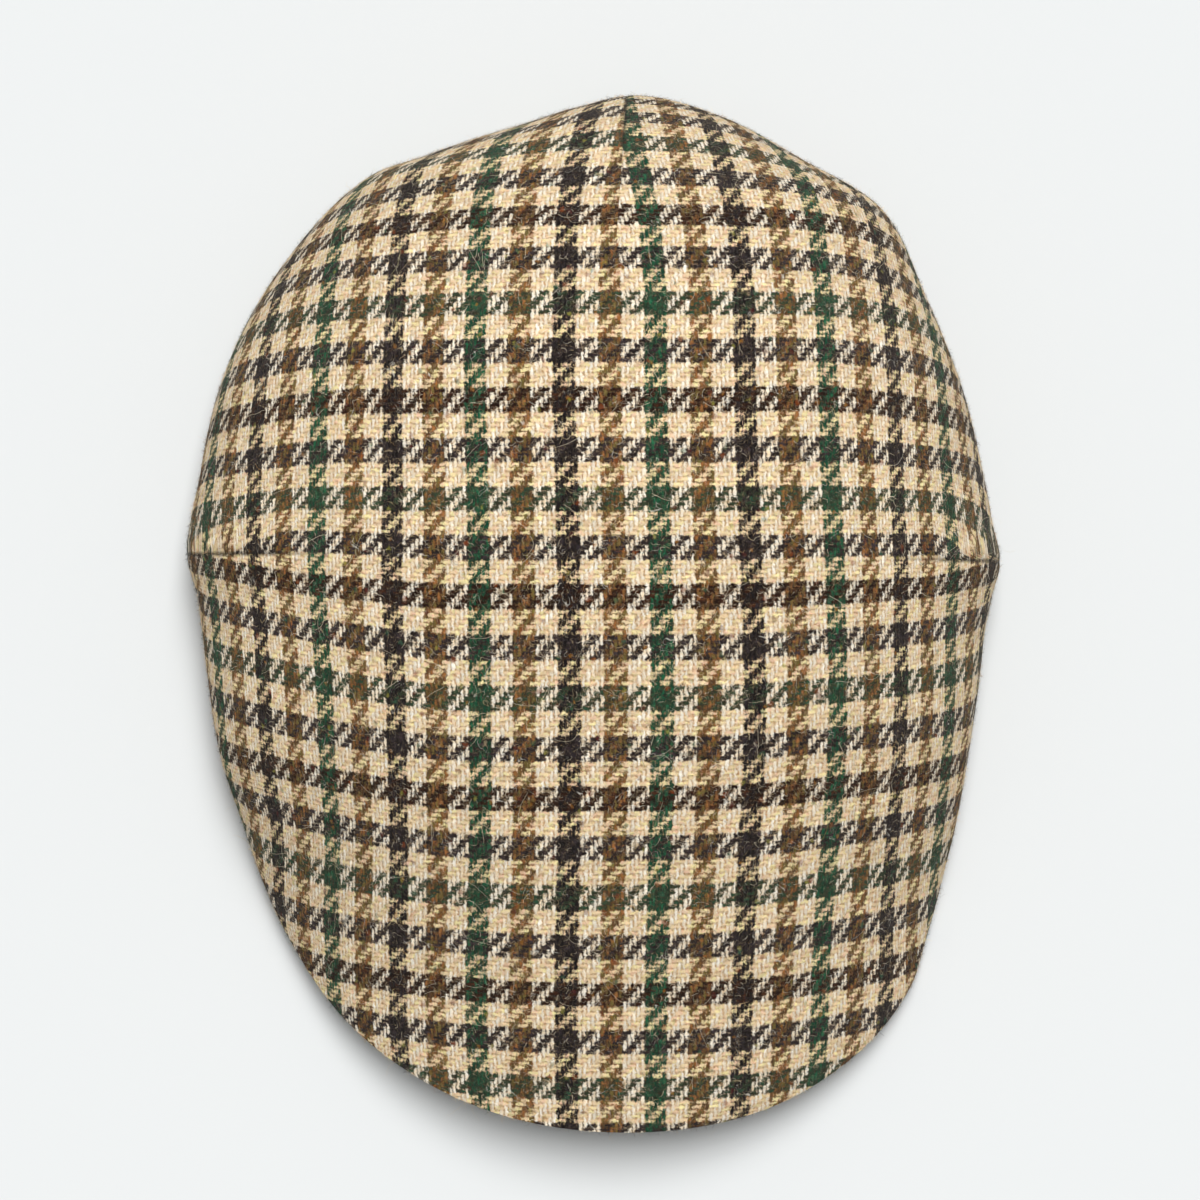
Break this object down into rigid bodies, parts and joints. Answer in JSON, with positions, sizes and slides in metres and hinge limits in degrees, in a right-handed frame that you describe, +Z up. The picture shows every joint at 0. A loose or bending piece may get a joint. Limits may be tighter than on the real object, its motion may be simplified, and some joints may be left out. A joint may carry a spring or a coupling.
{
  "type": "flat cap",
  "caption": "One-piece flat cap in checked wool tweed, hollow inside, with darts at the back and sides and a stiff peak under the front of the crown.",
  "frame": {"origin": "centre of the cap seen from above, on the surface that its rim rests on", "axes": "+Y towards the back of the cap, so that the peak faces -Y; +Z up; +X to the wearer's left"},
  "size_m": [0.2164, 0.2756, 0.0929],
  "materials": {
    "tweed": "brushed woollen 2/2 twill tweed in a gun-club check: cream with green, brown and charcoal, matt and hairy",
    "peak_tweed": "the same tweed, stretched over a stiff peak board, matt"
  },
  "bodies": {
    "root": {"crown": "tweed", "peak": "peak_tweed"}
  },
  "joints": []
}
